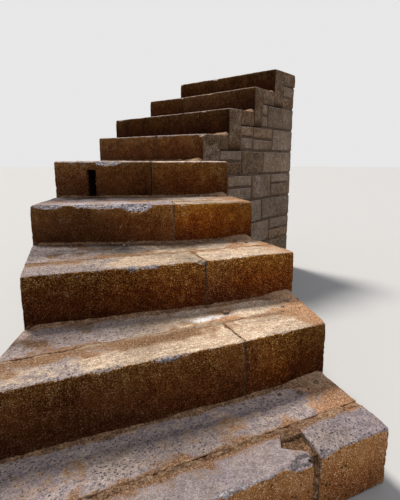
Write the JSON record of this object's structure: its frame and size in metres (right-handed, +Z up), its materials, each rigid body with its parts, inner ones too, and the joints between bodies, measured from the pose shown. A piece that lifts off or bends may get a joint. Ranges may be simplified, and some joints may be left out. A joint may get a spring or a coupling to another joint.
{
  "type": "outdoor stone steps",
  "caption": "Weathered flight of outdoor stone steps that turns right at a wedge-shaped landing step, on a solid masonry base with a level foot.",
  "frame": {"origin": "centre of the bounding box in plan, on the level ground under the flight", "axes": "+Z up; -Y towards the front of the bottom step, +Y along the overall run of the flight; +X to the right of someone who faces the steps"},
  "size_m": [1.605, 3.744, 1.645],
  "materials": {
    "riser_stone": "rough, pitted, with lichen on the noses",
    "tread_stone": "rough, worn smooth where it is walked on",
    "base_masonry": "rough coursed blocks"
  },
  "bodies": {
    "root": {"step1_base": "base_masonry", "step1_riser_left": "riser_stone", "step1_riser_right": "riser_stone", "step1_tread_slab": "tread_stone", "step2_base": "base_masonry", "step2_riser_left": "riser_stone", "step2_riser_right": "riser_stone", "step2_tread_slab": "tread_stone", "step3_base": "base_masonry", "step3_riser_left": "riser_stone", "step3_riser_right": "riser_stone", "step3_tread_slab": "tread_stone", "step4_base": "base_masonry", "step4_riser_left": "riser_stone", "step4_riser_right": "riser_stone", "step4_tread_slab": "tread_stone", "step5_base": "base_masonry", "step5_landing_slab": "tread_stone", "step5_riser_left": "riser_stone", "step5_riser_right": "riser_stone", "step6_base": "base_masonry", "step6_riser_left": "riser_stone", "step6_riser_right": "riser_stone", "step6_tread_slab": "tread_stone", "step7_base": "base_masonry", "step7_riser_left": "riser_stone", "step7_riser_right": "riser_stone", "step7_tread_slab": "tread_stone", "step8_base": "base_masonry", "step8_riser_left": "riser_stone", "step8_riser_right": "riser_stone", "step8_tread_slab": "tread_stone", "step9_base": "base_masonry", "step9_riser_left": "riser_stone", "step9_riser_right": "riser_stone", "step9_tread_slab": "tread_stone"}
  },
  "joints": []
}
